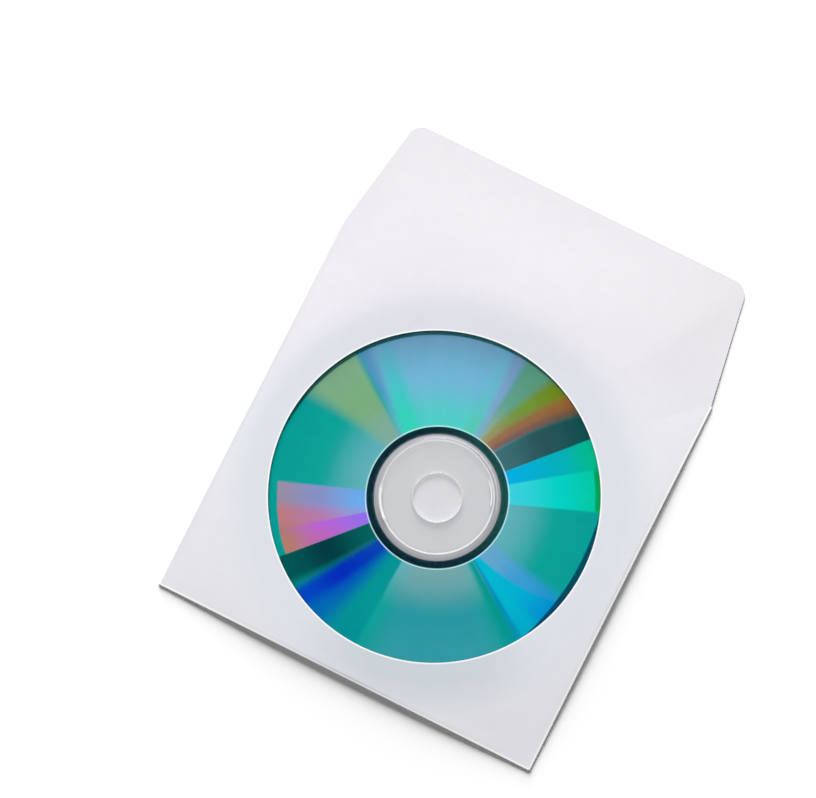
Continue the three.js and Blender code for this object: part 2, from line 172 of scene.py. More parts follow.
class Nodes:
    """The node tree of a material or of the world."""

    def __init__(self, owner: bpy.types.Material | bpy.types.World) -> None:
        """Empties the owner's tree."""
        self.owner = owner
        owner.use_nodes = True
        self.tree = owner.node_tree
        self.tree.nodes.clear()

    @classmethod
    def material(cls, slot: Slot) -> "Nodes":
        """Starts the material of a slot."""
        return cls(bpy.data.materials.new(slot.value))

    def node(
        self,
        kind: str,
        settings: Mapping[str, object] | None = None,
        inputs: Mapping[str | int, object] | None = None,
        output: str | int = 0,
    ) -> Socket:
        """Adds one node.

        Args:
            kind: the node's type.
            settings: its own settings, set first.
            inputs: the values or links of its sockets, by name or number.
            output: the socket to return.

        Returns:
            The chosen output.
        """
        node = self.tree.nodes.new(kind)
        for name, value in (settings or {}).items():
            setattr(node, name, value)
        for key, value in (inputs or {}).items():
            socket = node.inputs[key]
            if isinstance(value, Socket):
                self.tree.links.new(value.socket, socket)
            elif socket.type == "RGBA" and len(value) == 3:
                socket.default_value = (*value, 1.0)
            else:
                socket.default_value = value
        return Socket(self, node.outputs[output] if node.outputs else None)

    def math(self, operation: str, *values: "Socket | float") -> Socket:
        """Adds a Math node."""
        return self.node("ShaderNodeMath", {"operation": operation}, dict(enumerate(values)))

    def mix(self, factor: "Socket | float", a: "Socket | Colour", b: "Socket | Colour") -> Socket:
        """Colour between a and b."""
        return self.node("ShaderNodeMix", {"data_type": "RGBA"}, {0: factor, 6: a, 7: b}, 2)

    def tint(
        self, colour: "Socket | Colour", by: "Socket | Colour", factor: "Socket | float" = 1.0
    ) -> Socket:
        """Colour multiplied by another."""
        settings = {"data_type": "RGBA", "blend_type": "MULTIPLY"}
        return self.node("ShaderNodeMix", settings, {0: factor, 6: colour, 7: by}, 2)

    def grey(self, value: Socket) -> Socket:
        """Grey colour of a value."""
        return self.node("ShaderNodeCombineColor", None, {0: value, 1: value, 2: value})

    def place(self) -> Socket:
        """Position in the shared frame."""
        return self.node("ShaderNodeTexCoord", output="Object")

    def axes(self, vector: Socket) -> tuple[Socket, Socket, Socket]:
        """X, Y and Z of a vector."""
        x = self.node("ShaderNodeSeparateXYZ", None, {0: vector})
        return x, x.sibling("Y"), x.sibling("Z")

    def vector(self, x: "Socket | float", y: "Socket | float", z: "Socket | float" = 0.0) -> Socket:
        """Vector of three values."""
        return self.node("ShaderNodeCombineXYZ", None, {0: x, 1: y, 2: z})

    def polar(self, centre: Place) -> tuple[Socket, Socket]:
        """Polar place about an upright axis.

        Args:
            centre: the axis's x and y.

        Returns:
            The radius in metres, and the angle from +X in degrees, anticlockwise from above.
        """
        x, y, _ = self.axes(self.place())
        across = x - centre[0]
        up = y - centre[1]
        radius = (across * across + up * up) ** 0.5
        angle = self.math("DEGREES", self.math("ARCTAN2", up, across))
        return radius, angle

    def half_turns(self, angle: Socket) -> Socket:
        """Angle in degrees, brought between -180 and 180."""
        return self.math("WRAP", angle, 180, -180)

    def cosine(self, angle: Socket) -> Socket:
        """Cosine of an angle in degrees."""
        return self.math("COSINE", self.math("RADIANS", angle))

    def noise(self, vector: Socket, scale: float, detail: float = 2.0, roughness: float = 0.5) -> Socket:
        """Noise from 0 to 1."""
        inputs = {"Vector": vector, "Scale": scale, "Detail": detail, "Roughness": roughness}
        return self.node("ShaderNodeTexNoise", None, inputs)

    def bump(
        self, height: Socket, distance: float, strength: float = 1.0, under: Socket | None = None
    ) -> Socket:
        """Normal of a relief with the given depth in metres, laid on another relief's normal."""
        inputs = {"Height": height, "Distance": distance, "Strength": strength}
        if under is not None:
            inputs["Normal"] = under
        return self.node("ShaderNodeBump", None, inputs)

    def principled(self, **inputs: object) -> Socket:
        """Principled surface. Keyword names are the sockets' names with underscores."""
        named = {name.replace("_", " "): value for name, value in inputs.items()}
        return self.node("ShaderNodeBsdfPrincipled", None, named)

    def finish(self, surface: Socket) -> bpy.types.Material:
        """Connects the surface and returns the material."""
        self.node("ShaderNodeOutputMaterial", None, {"Surface": surface})
        return self.owner


@dataclass(frozen=True)
class Layout:
    """Places that the pieces share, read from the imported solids."""

    half_width: float
    bottom: float
    tip: float
    face_top: float
    window_centre: Place
    disc_centre: Place
    disc_base: float
    disc_top: float
    disc_radius: float
    liner_low: float

    @classmethod
    def from_frame(cls) -> "Layout":
        """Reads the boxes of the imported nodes."""
        low, high = (Vector(corner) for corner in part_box("envelope"))
        film_low, film_high = (Vector(corner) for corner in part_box("window_film"))
        disc_low, disc_high = (Vector(corner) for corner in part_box("disc"))
        liner_low, _ = (Vector(corner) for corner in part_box("release_liner"))
        window = (film_low + film_high) / 2
        disc = (disc_low + disc_high) / 2
        return cls(
            half_width=high.x,
            bottom=low.y,
            tip=high.y,
            face_top=high.z,
            window_centre=(window.x, window.y),
            disc_centre=(disc.x, disc.y),
            disc_base=disc_low.z,
            disc_top=disc_high.z,
            disc_radius=(disc_high.x - disc_low.x) / 2,
            liner_low=liner_low.y,
        )


@dataclass(frozen=True)
class PaperFinish:
    """White uncoated paper with a faint show-through of the disc.

    It has painted shade over the lower side of the disc, and a painted highlight just inside its folds
    and along the window's edge.

    A span is the distance, height or cosine at which a tone starts and the one at which it is full.
    """

    colour: Colour = srgb(230, 226, 234)
    lower_colour: Colour = srgb(231, 231, 237)
    lower_slant: float = 0.4
    lower_span: Span = (85 * MM, 125 * MM)
    flap_colour: Colour = srgb(231, 229, 233)
    flap_span: Span = (52 * MM, 80 * MM)
    face_span: Span = (0.32 * MM, 0.5 * MM)
    shaded: Colour = (0.905, 0.95, 0.95)
    show_through: Span = (55 * MM, 68 * MM)
    # Painted shade over the lower side of the disc
    lower_shade: Colour = (0.84, 0.86, 0.865)
    lower_shade_angle: float = -70.0
    lower_shade_span: Span = (0.72, 1.0)
    behind_hub: Colour = srgb(227, 227, 231)
    hub_span: Span = (18 * MM, 22 * MM)
    panel_span: Span = (0.24 * MM, 0.29 * MM)
    # Painted highlight just inside the folds and along the window's edge
    highlight_colour: Colour = (0.99, 0.99, 0.99)
    highlight_strength: float = 0.95
    fold_highlight: Span = (0.4 * MM, 0.85 * MM)
    window_highlight: Span = (0.25 * MM, 0.65 * MM)
    fibre_scales: tuple[Triple, Triple] = ((1900, 520, 900), (600, 2100, 900))
    mottle_scale: float = 260
    mottle_noise: Span = (4, 0.55)
    mottle_span: Span = (0.3, 0.7)
    mottle_depth: float = 0.015
    grain: float = 0.010 * MM
    cockle: float = 0.05 * MM
    cockle_scale: float = 42
    roughness: float = 0.72
    roughness_of_fibre: float = 0.12
    specular: float = 0.28

    def tones(self, nodes: Nodes, layout: Layout, window_radius: float) -> Socket:
        """Colour of the paper before its mottle.

        Args:
            nodes: the paper's nodes.
            layout: the shared places.
            window_radius: radius of the window's cut edge.

        Returns:
            The colour.
        """
        x, y, z = nodes.axes(nodes.place())
        radius, angle = nodes.polar(layout.disc_centre)
        from_window, _ = nodes.polar(layout.window_centre)
        face = z.rise(*self.face_span)
        slanting = (y - x * self.lower_slant - layout.bottom).rise(*self.lower_span)
        colour = nodes.mix(slanting, self.lower_colour, self.colour)
        flap = (y - layout.disc_centre[1]).rise(*self.flap_span)
        colour = nodes.mix(flap, colour, self.flap_colour)
        over_disc = (1 - radius.rise(*self.show_through)) * face
        colour = nodes.tint(colour, self.shaded, over_disc)
        behind = (1 - radius.rise(*self.hub_span)) * z.rise(*self.panel_span) * (1 - face)
        colour = nodes.mix(behind, colour, self.behind_hub)
        # Painted shade: darker over the lower side of the disc, on top of its show-through
        lower = nodes.cosine(angle - self.lower_shade_angle).rise(*self.lower_shade_span)
        colour = nodes.tint(colour, self.lower_shade, over_disc * lower)
        # Painted highlight: the paper is lighter just inside its folds and along the window's edge
        side = nodes.math("MINIMUM", layout.half_width - abs(x), y - layout.bottom)
        rim = 1 - (from_window - window_radius).rise(*self.window_highlight)
        crease = nodes.math("MAXIMUM", 1 - side.rise(*self.fold_highlight), rim) * face
        return nodes.mix(crease * self.highlight_strength, colour, self.highlight_colour)

    def material(self, layout: Layout, window_radius: float) -> bpy.types.Material:
        """Builds the paper."""
        nodes = Nodes.material(Slot.PAPER)
        place = nodes.place()
        x, y, z = nodes.axes(place)
        mottle = nodes.noise(place, self.mottle_scale, *self.mottle_noise).rise(*self.mottle_span)
        brightness = nodes.grey(1 - self.mottle_depth + mottle * self.mottle_depth)
        colour = nodes.tint(self.tones(nodes, layout, window_radius), brightness)
        along, across = (
            nodes.noise(nodes.vector(x * scale[0], y * scale[1], z * scale[2]), 1.0, *FINE)
            for scale in self.fibre_scales
        )
        cloud = nodes.noise(place, self.cockle_scale)
        surface = nodes.principled(
            Base_Color=colour,
            Roughness=self.roughness + along * self.roughness_of_fibre,
            Specular_IOR_Level=self.specular,
            Normal=nodes.bump(cloud, self.cockle, under=nodes.bump(along + across, self.grain)),
        )
        return nodes.finish(surface)


@dataclass(frozen=True)
class Glint:
    """A painted glint: a fan of diffraction colour on the recording layer that stands in for reflected light.

    Bearings are in degrees, clockwise from above, from the zero bearing. Spans and strengths are given at the
    layer's inner edge and at the window's edge. Tones are display colours with channels from 0 to 255, at the
    inner edge, halfway and at the window's edge.
    """

    inner_span: Span
    outer_span: Span
    tones: Tones
    soft: Span = (3.0, 3.0)
    strength: Span = (1.0, 1.0)
    end: float | None = None
    end_soft: float = 0.5 * MM

    def mask(self, bearing: Socket, radius: Socket, reach: Socket) -> Socket:
        """Where the fan is.

        Args:
            bearing: bearing in degrees.
            radius: distance from the disc's axis.
            reach: 0 at the layer's inner edge and 1 at the window's edge.

        Returns:
            0 outside the fan and its strength inside.
        """
        edges = []
        for inner, outer, soft in zip(self.inner_span, self.outer_span, self.soft, strict=True):
            straight = bearing - reach * (outer - inner) if outer != inner else bearing
            edges.append(straight.rise(inner - soft / 2, inner + soft / 2))
        mask = edges[0] * (1 - edges[1])
        if self.strength != (1.0, 1.0):
            mask = mask * (self.strength[0] + reach * (self.strength[1] - self.strength[0]))
        if self.end is not None:
            half = self.end_soft / 2
            mask = mask * (1 - radius.rise(self.end - half, self.end + half))
        return mask


@dataclass(frozen=True)
class EdgeShade:
    """A dark crescent of painted shade on the recording layer along the window's edge.

    It is widest at its bearing and tapers over its spread. Its ends and the bearing are in degrees.
    """

    colour: Colour
    width: float
    bearing: float
    spread: float
    taper: Span
    ends: Span
    soft_ends: float
    soft_edge: Span = (-0.2 * MM, 0.3 * MM)
    strength: float = 0.9

    def mask(self, bearing: Socket, past_window: Socket) -> Socket:
        """Where the shade is.

        Args:
            bearing: bearing in degrees.
            past_window: distance beyond the window's edge.

        Returns:
            0 outside the shade and its strength inside.
        """
        bulge = 1 - ((bearing - self.bearing) / self.spread) ** 2
        width = bulge.rise(*self.taper) * self.width
        inside = (past_window + width).rise(*self.soft_edge)
        return inside * bearing.band(*self.ends, self.soft_ends) * self.strength


@dataclass(frozen=True)
class LayerFinish:
    """Reflecting layer of a recorded disc, with painted light over its own colour.

    The fans of colour are painted glints, and the dark mirror band at its inner edge is painted reflection.
    Dark crescents along the window's edge are painted shadow and reflection. Its own colour and the painted
    reflection opposite the zero bearing are given at the inner edge, halfway and at the window's edge.
    """

    ground: Tones = ((92, 172, 180), (6, 158, 150), (4, 154, 148))
    opposite: Tones = ((112, 164, 168), (38, 148, 158), (48, 152, 162))
    opposite_span: Span = (149, 165)
    inner_radius: float = 22 * MM
    outer_radius: float = 50 * MM
    inner_blend: Span = (0.02, 0.56)
    outer_blend: Span = (0.5, 1.0)
    # Painted reflection: the mirror band's dark colour, greener towards its bearing
    mirror_reflection: Colour = srgb(9, 42, 53)
    mirror_reflection_green: Colour = srgb(26, 76, 74)
    mirror_green_bearing: float = 80.0
    mirror_green_span: Span = (0.1, 1.0)
    mirror_end: Span = (21.58 * MM, 21.75 * MM)
    line_colour: Colour = srgb(206, 236, 236)
    line_strength: float = 0.8
    line_radii: Span = (21.79 * MM, 22.11 * MM)
    line_soft: float = 0.16 * MM
    # Painted reflection: a green fringe of the cyan fan at the window's edge
    rim_green: Colour = srgb(0, 158, 84)
    rim_green_radii: Span = (48.9 * MM, 49.4 * MM)
    rim_green_bearings: Span = (80.0, 95.4)
    rim_green_soft: float = 3.0
    streak_scale: Span = (0.22, 30)
    streak_depth: float = 0.12
    track_scale: Span = (0.02, 900)
    track_depth: float = 0.04
    brightness: float = 0.92
    wander: float = 0.8
    metallic: float = 0.9
    roughness: float = 0.3
    mirror_gloss: float = 0.12
    edge_shades: tuple[EdgeShade, ...] = (
        # Painted dark reflection of the window's edge, on the lower right
        EdgeShade(srgb(0, 54, 82), 2.2 * MM, 122, 30, taper=(0.0, 1.2), ends=(97, 150), soft_ends=10),
        # Painted shadow of the window's edge, at the top
        EdgeShade(srgb(0, 76, 74), 1.25 * MM, -12, 66, taper=(-0.4, 1.1), ends=(-64, 72), soft_ends=16),
    )
    # Painted reflection: each fan is a diffraction glint of the light
    glints: tuple[Glint, ...] = (
        # Lower left, with the zero bearing at the top: teal and blue, then the dark gap
        Glint((-151, -134), (-151, -128), ((0, 146, 148), (0, 146, 146), (0, 142, 148)), soft=(2, 4)),
        Glint((-140, -122), (-138, -123), ((0, 100, 174), (0, 90, 182), (0, 104, 176)),
              soft=(9, 5), strength=(0.9, 1.0)),
        Glint((-135.5, -125), (-130, -123.2), ((0, 46, 176), (0, 30, 184), (0, 66, 188)),
              soft=(6, 4), strength=(0.8, 1.0)),
        Glint((-125, -110.4), (-121.5, -110.4), ((0, 94, 90), (0, 56, 62), (0, 84, 84)), soft=(7, 0.8)),
        # Left: violet and pink
        Glint((-110.4, -100.8), (-110.4, -100.8), ((146, 108, 230), (182, 96, 210), (172, 118, 112)),
              soft=(0.8, 1.6), end=49.2 * MM),
        Glint((-110.4, -107), (-110.4, -103.5), ((150, 106, 216), (190, 104, 158), (178, 126, 92)),
              soft=(0.8, 6), strength=(0.2, 0.8), end=49.2 * MM),
        Glint((-100.8, -84), (-100.8, -84), ((104, 168, 232), (132, 142, 194), (150, 138, 160)),
              soft=(1.6, 1.2), end=49.0 * MM),
        Glint((-101.5, -98), (-101.5, -92), ((140, 152, 216), (184, 116, 164), (186, 116, 112)),
              soft=(0.6, 7), strength=(0.8, 0.9), end=49.0 * MM),
        # Upper left: olive
        Glint((-45, -31.6), (-50.5, -29.4), ((128, 168, 150), (122, 170, 120), (122, 168, 132)),
              soft=(8, 3.5), strength=(0.85, 1.0)),
        # Top: the broad blue fan and its edges
        Glint((-28.6, 33), (-27.4, 31), ((78, 202, 196), (110, 178, 210), (104, 154, 186)), soft=(4, 6)),
        Glint((-28.8, -25.6), (-29, -24.4), ((60, 186, 176), (72, 138, 188), (80, 140, 186)),
              soft=(4.5, 5), strength=(0.5, 0.85)),
        Glint((-27, -14), (-22, -17), ((50, 206, 180), (46, 196, 190), (76, 166, 190)),
              soft=(5, 8), strength=(1.0, 0.5)),
        Glint((21, 32), (24, 30), ((84, 196, 176), (98, 182, 202), (92, 160, 190)),
              soft=(6, 5), strength=(1.0, 0.6)),
        Glint((31, 36), (28, 34), ((120, 170, 196), (120, 160, 198), (108, 142, 180)), soft=(4, 5)),
        # Upper right: green, gold and brown, then the dark gap
        Glint((35, 41), (33, 46), ((140, 172, 150), (92, 156, 136), (84, 146, 120)), soft=(4, 5)),
        Glint((37, 46), (44.5, 55), ((150, 146, 98), (110, 146, 56), (106, 132, 28)), soft=(5, 5)),
        Glint((42, 50), (52, 60), ((148, 106, 80), (142, 104, 68), (146, 94, 48)), soft=(4.5, 4)),
        Glint((47.5, 51), (56.5, 60.5), ((112, 88, 88), (116, 80, 80), (104, 80, 62)),
              soft=(4, 3), strength=(0.8, 0.9)),
        Glint((51, 69.2), (59.5, 69.2), ((58, 106, 112), (38, 82, 86), (14, 76, 76)), soft=(3.5, 0.8)),
        # Right: cyan and green
        Glint((69.2, 80), (69.2, 80), ((0, 170, 220), (0, 172, 190), (0, 182, 138)), soft=(0.8, 1.4)),
        Glint((80, 95.4), (80, 95.4), ((54, 204, 216), (0, 204, 194), (0, 196, 160)), soft=(1.4, 1.2)),
        # Lower right: blue
        Glint((130, 150), (129, 136), ((98, 164, 202), (54, 152, 206), (20, 140, 200)), soft=(7, 3)),
        Glint((145, 149.8), (130.5, 149.8), ((0, 178, 204), (0, 172, 206), (0, 138, 202)), soft=(2, 2.5)),
        Glint((145.5, 149.8), (141, 149.8), ((0, 180, 204), (0, 178, 204), (0, 164, 196)), soft=(6, 2.5)),
        Glint((148.6, 150.8), (148.6, 150.8), ((0, 134, 180), (0, 128, 182), (0, 140, 176)),
              soft=(2, 2.5), strength=(0.8, 0.9)),
        Glint((150.8, 155), (150.8, 155), ((0, 150, 140), (0, 146, 136), (0, 146, 146)), soft=(2, 5)),
    )

    def by_reach(self, nodes: Nodes, reach: Socket, tones: Tones) -> Socket:
        """Colour that passes from the first tone, at the inner edge, through the second to the third."""
        inner, middle, outer = (srgb(*tone) for tone in tones)
        near = nodes.mix(reach.rise(*self.inner_blend), inner, middle)
        return nodes.mix(reach.rise(*self.outer_blend), near, outer)

    def painted_glints(self, nodes: Nodes, bearing: Socket, radius: Socket) -> Socket:
        """Colour of the painted glints, and of the painted reflection opposite the zero bearing, over the
        layer's own colour.
        """
        reach = (radius - self.inner_radius) / (self.outer_radius - self.inner_radius)
        ground = self.by_reach(nodes, reach, self.ground)
        opposite = self.by_reach(nodes, reach, self.opposite)
        colour = nodes.mix(abs(bearing).rise(*self.opposite_span), ground, opposite)
        for glint in self.glints:
            glint_tone = self.by_reach(nodes, reach, glint.tones)
            colour = nodes.mix(glint.mask(bearing, radius, reach), colour, glint_tone)
        return colour

    def material(self, layout: Layout, window_radius: float) -> bpy.types.Material:
        """Builds the layer."""
        nodes = Nodes.material(Slot.LAYER)
        radius, angle = nodes.polar(layout.disc_centre)
        from_window, _ = nodes.polar(layout.window_centre)
        bearing = nodes.half_turns(ZERO_BEARING - angle)
        across, along = self.streak_scale
        streaks = nodes.noise(nodes.vector(bearing * across, radius * along), 1.0, *FINE)
        across, along = self.track_scale
        tracks = nodes.noise(nodes.vector(radius * along, bearing * across), 1.0)
        colour = self.painted_glints(nodes, bearing + (streaks - 0.5) * self.wander, radius)
        brightness = self.brightness + streaks * self.streak_depth + tracks * self.track_depth
        colour = nodes.tint(colour, nodes.grey(brightness))
        # Painted reflection: a green fringe of the cyan fan at the window's edge
        green_rim = bearing.band(*self.rim_green_bearings, self.rim_green_soft)
        colour = nodes.mix(from_window.rise(*self.rim_green_radii) * green_rim, colour, self.rim_green)
        # Painted shadow and reflection along the window's edge
        for shade in self.edge_shades:
            colour = nodes.mix(shade.mask(bearing, from_window - window_radius), colour, shade.colour)
        line = radius.band(*self.line_radii, self.line_soft)
        colour = nodes.mix(line * self.line_strength, colour, self.line_colour)
        # The mirror band: painted dark reflection, greener towards its bearing, and a little smoother
        mirror = 1 - radius.rise(*self.mirror_end)
        green = nodes.cosine(bearing - self.mirror_green_bearing).rise(*self.mirror_green_span)
        colour = nodes.mix(mirror, colour, nodes.mix(green, self.mirror_reflection, self.mirror_reflection_green))
        surface = nodes.principled(
            Base_Color=colour,
            Metallic=self.metallic,
            Roughness=self.roughness - mirror * self.mirror_gloss,
            Specular_IOR_Level=0.0,
        )
        return nodes.finish(surface)


@dataclass(frozen=True)
class StepLight:
    """A line of painted light along a step or ridge of the clear hub.

    Its colour is a painted highlight where it is light and painted shade where it is dark.

    Radii are in metres. The line is strongest towards its bearing, in degrees clockwise from the zero
    bearing, and fades out at half its spread on either side. A spread of 360 goes all the way round.
    """

    inner: float
    outer: float
    soft: float
    colour: Colour
    haze: float
    bearing: float = 0.0
    spread: float = 360.0
    fade: Span = (0.3, 0.5)

    def mask(self, nodes: Nodes, radius: Socket, bearing: Socket) -> Socket:
        """Where the line is, from 0 to its haze."""
        mask = radius.band(self.inner, self.outer, self.soft) * self.haze
        if self.spread < 360:
            away = abs(nodes.half_turns(bearing - self.bearing))
            mask = mask * (1 - (away / self.spread).rise(*self.fade))
        return mask


@dataclass(frozen=True)
class DiscFinish:
    """Clear moulded polycarbonate, a little grey at the hub, with painted highlights and shade on its steps.
    """

    colour: Colour = srgb(200, 206, 204)
    haze: float = 0.001
    hub_haze: float = 0.06
    hub_end: Span = (19.25 * MM, 19.45 * MM)
    line_cover: float = 4.0
    roughness: float = 0.08
    refraction: float = 1.585
    step_lights: tuple[StepLight, ...] = (
        # Painted highlights (light colours) and painted shade (dark colours) of the hole's edge, the stacking
        # ring and the groove
        StepLight(7.2 * MM, 7.9 * MM, 0.35 * MM, srgb(250, 250, 252), 0.29),
        StepLight(7.8 * MM, 8.2 * MM, 0.4 * MM, srgb(120, 124, 134), 0.13, -150, 220),
        StepLight(16.3 * MM, 16.9 * MM, 0.5 * MM, srgb(160, 162, 168), 0.10, 180, 260),
        StepLight(18.0 * MM, 19.6 * MM, 0.5 * MM, srgb(148, 150, 160), 0.22),
        StepLight(18.9 * MM, 19.6 * MM, 0.5 * MM, srgb(96, 100, 116), 0.22, 170, 300),
        StepLight(17.75 * MM, 17.95 * MM, 0.2 * MM, srgb(92, 96, 106), 0.28, 170, 330),
        StepLight(17.15 * MM, 17.65 * MM, 0.3 * MM, srgb(252, 252, 253), 0.32),
        StepLight(17.15 * MM, 17.65 * MM, 0.25 * MM, srgb(252, 252, 253), 0.5, 165, 250),
        StepLight(18.3 * MM, 18.55 * MM, 0.2 * MM, srgb(246, 247, 250), 0.3, 45, 150),
        StepLight(17.0 * MM, 17.8 * MM, 0.25 * MM, srgb(254, 254, 254), 0.9, -96, 44),
        StepLight(16.45 * MM, 16.85 * MM, 0.2 * MM, srgb(254, 254, 254), 0.9, 86, 34),
    )

    def material(self, layout: Layout) -> bpy.types.Material:
        """Builds the clear plastic."""
        nodes = Nodes.material(Slot.DISC)
        radius, angle = nodes.polar(layout.disc_centre)
        bearing = nodes.half_turns(ZERO_BEARING - angle)
        haze = (1 - radius.rise(*self.hub_end)) * self.hub_haze + self.haze
        colour = self.colour
        # Each line paints its highlight or shade and hazes the plastic there
        for line in self.step_lights:
            mask = line.mask(nodes, radius, bearing)
            colour = nodes.mix((mask * self.line_cover).rise(0.0, 1.0), colour, line.colour)
            haze = nodes.math("MAXIMUM", haze, mask)
        surface = nodes.principled(
            Base_Color=colour,
            Roughness=self.roughness,
            IOR=self.refraction,
            Alpha=haze,
        )
        return nodes.finish(surface)


@dataclass(frozen=True)
class FilmFinish:
    """Thin clear film that shows only its gloss."""

    gloss: float = 0.0004
    edge_gloss: float = 0.5
    edge_power: float = 4
    roughness: float = 0.08
    ripple_scale: float = 38
    ripple: float = 0.25 * MM
    ripple_strength: float = 0.5

    def material(self) -> bpy.types.Material:
        """Builds the film."""
        nodes = Nodes.material(Slot.FILM)
        normal = nodes.bump(nodes.noise(nodes.place(), self.ripple_scale), self.ripple, self.ripple_strength)
        facing = nodes.node("ShaderNodeLayerWeight", None, {"Blend": 0.5}, "Facing")
        inputs = {"Color": (1.0, 1.0, 1.0), "Roughness": self.roughness, "Normal": normal}
        gloss = nodes.node("ShaderNodeBsdfGlossy", None, inputs)
        clear = nodes.node("ShaderNodeBsdfTransparent", None, {"Color": (1.0, 1.0, 1.0)})
        factor = self.gloss + facing**self.edge_power * self.edge_gloss
        return nodes.finish(nodes.node("ShaderNodeMixShader", None, {0: factor, 1: clear, 2: gloss}))


@dataclass(frozen=True)
class GlueFinish:
    """Dried glue or tacky adhesive, with fine stipple."""

    slot: Slot
    colour: Colour
    roughness: float
    opacity: float
    stipple_scale: float = 900
    stipple_depth: float = 0.02 * MM
    stipple_roughness: float = 0.1
    cloud_scale: float = 120
    cloud_depth: float = 0.12
    brightness: float = 0.9

    def material(self) -> bpy.types.Material:
        """Builds the glue."""
        nodes = Nodes.material(self.slot)
        place = nodes.place()
        stipple = nodes.noise(place, self.stipple_scale, *FINE)
        cloud = nodes.noise(place, self.cloud_scale)
        surface = nodes.principled(
            Base_Color=nodes.tint(self.colour, nodes.grey(self.brightness + cloud * self.cloud_depth)),
            Roughness=self.roughness + stipple * self.stipple_roughness,
            Alpha=self.opacity,
            Normal=nodes.bump(stipple, self.stipple_depth),
        )
        return nodes.finish(surface)


@dataclass(frozen=True)
class LinerFinish:
    """Cream release paper, printed with generic peel marks: rows of three chevrons and a dash."""

    colour: Colour = srgb(240, 234, 216)
    ink: Colour = srgb(38, 52, 104)
    repeat: float = 26 * MM
    row_pitch: float = 8.1 * MM
    row_shift: float = 0.38
    slant: float = 0.9
    chevron_starts: tuple[float, ...] = (4.0 * MM, 6.6 * MM, 9.2 * MM)
    chevron_width: float = 1.3 * MM
    chevron_half: Span = (2.1 * MM, 2.25 * MM)
    dash: Span = (14.5 * MM, 23.0 * MM)
    dash_half: Span = (0.5 * MM, 0.62 * MM)
    ink_edge: float = 0.15 * MM
    ink_density: float = 0.86
    mottle_scale: float = 420
    mottle_depth: float = 0.05
    brightness: float = 0.965
    roughness: float = 0.42
    roughness_of_mottle: float = 0.1
    relief: float = 0.01 * MM

    def print_mask(self, nodes: Nodes, layout: Layout) -> Socket:
        """Where the ink is; each row is shifted from the one before."""
        x, y, _ = nodes.axes(nodes.place())
        from_low = (y - layout.liner_low) / self.row_pitch
        row = nodes.math("FLOOR", from_low)
        v = abs(from_low - row - 0.5) * self.row_pitch
        shifted = x + row * (self.repeat * self.row_shift) + v * self.slant
        along = nodes.math("WRAP", shifted, self.repeat, 0.0)
        chevrons = sum(
            along.band(start, start + self.chevron_width, self.ink_edge) for start in self.chevron_starts
        )
        dash = along.band(*self.dash, self.ink_edge) * (1 - v.rise(*self.dash_half))
        return nodes.math("MINIMUM", chevrons * (1 - v.rise(*self.chevron_half)) + dash, 1.0)

    def material(self, layout: Layout) -> bpy.types.Material:
        """Builds the liner."""
        nodes = Nodes.material(Slot.LINER)
        mottle = nodes.noise(nodes.place(), self.mottle_scale, *FINE)
        paper = nodes.tint(self.colour, nodes.grey(self.brightness + mottle * self.mottle_depth))
        ink = self.print_mask(nodes, layout) * (self.ink_density + mottle * (1 - self.ink_density))
        surface = nodes.principled(
            Base_Color=nodes.mix(ink, paper, self.ink),
            Roughness=self.roughness + mottle * self.roughness_of_mottle,
            Normal=nodes.bump(mottle, self.relief),
        )
        return nodes.finish(surface)


def dress(node: str, material: bpy.types.Material) -> None:
    """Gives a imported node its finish."""
    piece = bpy.data.objects[node]
    piece.data.materials.clear()
    piece.data.materials.append(material)
    log.info("dressed %s with %s", node, material.name)


def new_mesh(name: str, points: Sequence, faces: Sequence[tuple[int, ...]], crease: float) -> bpy.types.Mesh:
    """Makes a smooth mesh that stays sharp where it turns by more than crease degrees."""
    mesh = bpy.data.meshes.new(name)
    mesh.from_pydata(points, [], faces)
    mesh.validate()
    mesh.shade_smooth()
    mesh.set_sharp_from_angle(angle=math.radians(crease))
    return mesh


def add_piece(
    name: str, mesh: bpy.types.Mesh, material: bpy.types.Material, slot: Slot, *nodes: str
) -> bpy.types.Object:
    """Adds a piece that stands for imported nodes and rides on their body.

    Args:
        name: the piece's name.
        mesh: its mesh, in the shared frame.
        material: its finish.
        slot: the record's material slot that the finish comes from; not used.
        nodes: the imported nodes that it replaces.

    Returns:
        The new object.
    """
    mesh.materials.append(material)
    piece = bpy.data.objects.new(name, mesh)
    bpy.context.scene.collection.objects.link(piece)
    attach(piece, ROOT)
    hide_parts(*nodes)
    log.info("%s: %d faces, replaces %s", name, len(mesh.polygons), ", ".join(nodes))
    return piece


